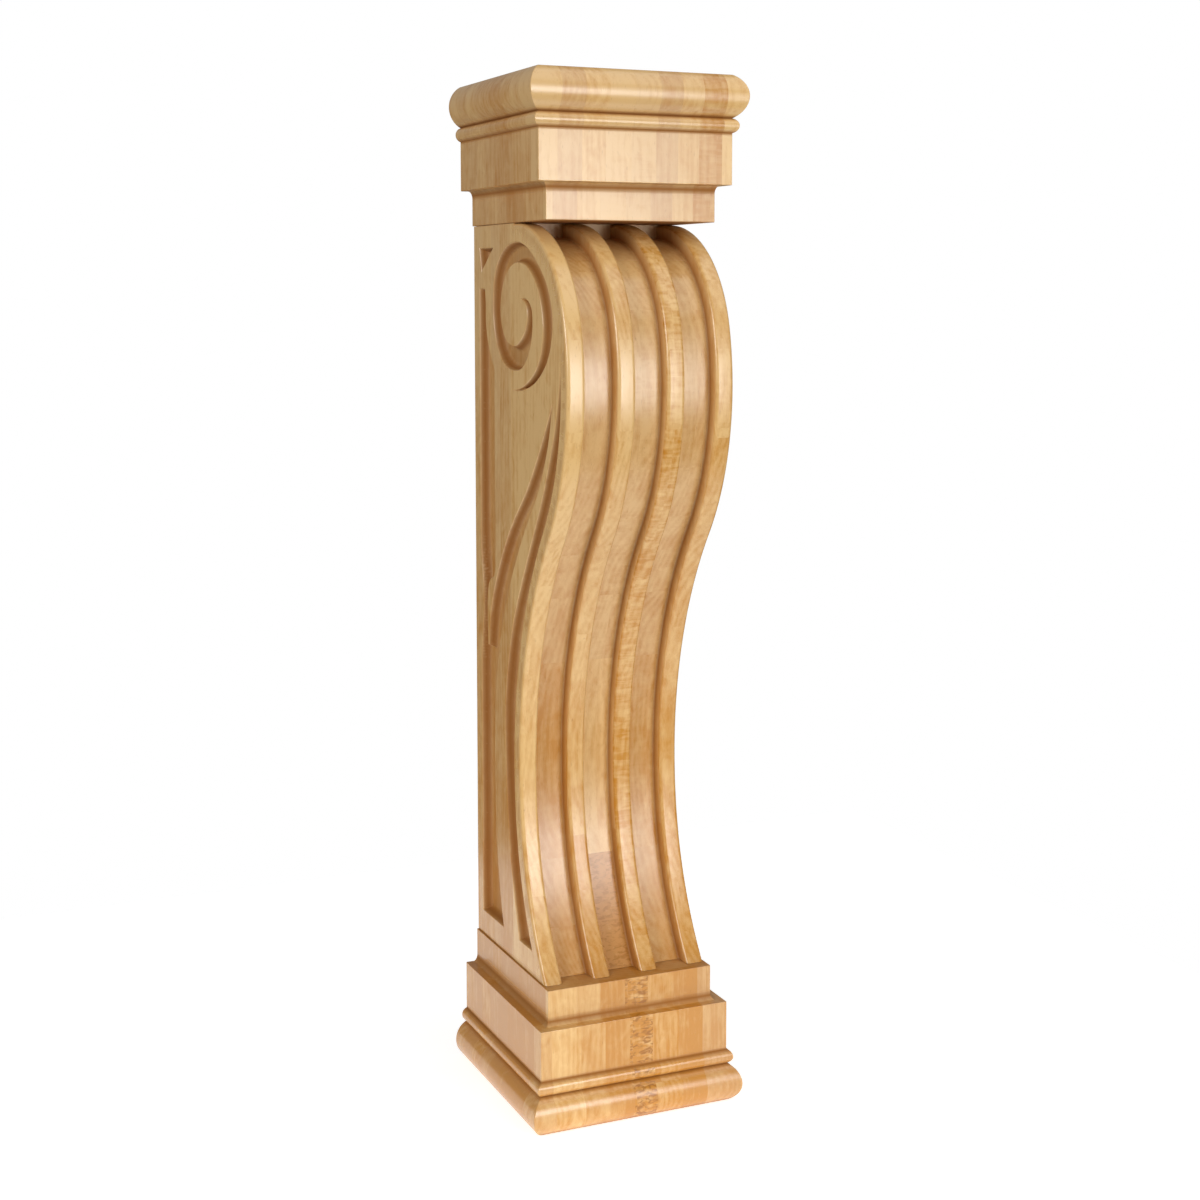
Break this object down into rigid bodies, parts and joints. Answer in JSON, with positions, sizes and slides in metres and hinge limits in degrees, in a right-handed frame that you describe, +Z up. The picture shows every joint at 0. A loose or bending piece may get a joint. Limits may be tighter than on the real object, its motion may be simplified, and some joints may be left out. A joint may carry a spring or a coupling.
{
  "type": "fireplace corbel",
  "caption": "Tall carved wooden fireplace corbel with a reeded S-scroll front, spiral carving on both sides and moulded cap and base blocks.",
  "frame": {"origin": "middle of the bounding box on the underside of the base block", "axes": "+Z up, the carved front faces -Y, +X to the right of someone who faces the front; the flat back faces +Y"},
  "size_m": [0.2032, 0.2206, 0.9166],
  "materials": {
    "base_wood": "clear semi-gloss lacquer on light hardwood staves",
    "body_wood": "clear semi-gloss lacquer on light hardwood staves",
    "cap_wood": "clear semi-gloss lacquer on light hardwood staves"
  },
  "bodies": {
    "root": {"base_block": "base_wood", "scroll_body": "body_wood", "cap_block": "cap_wood"}
  },
  "joints": []
}
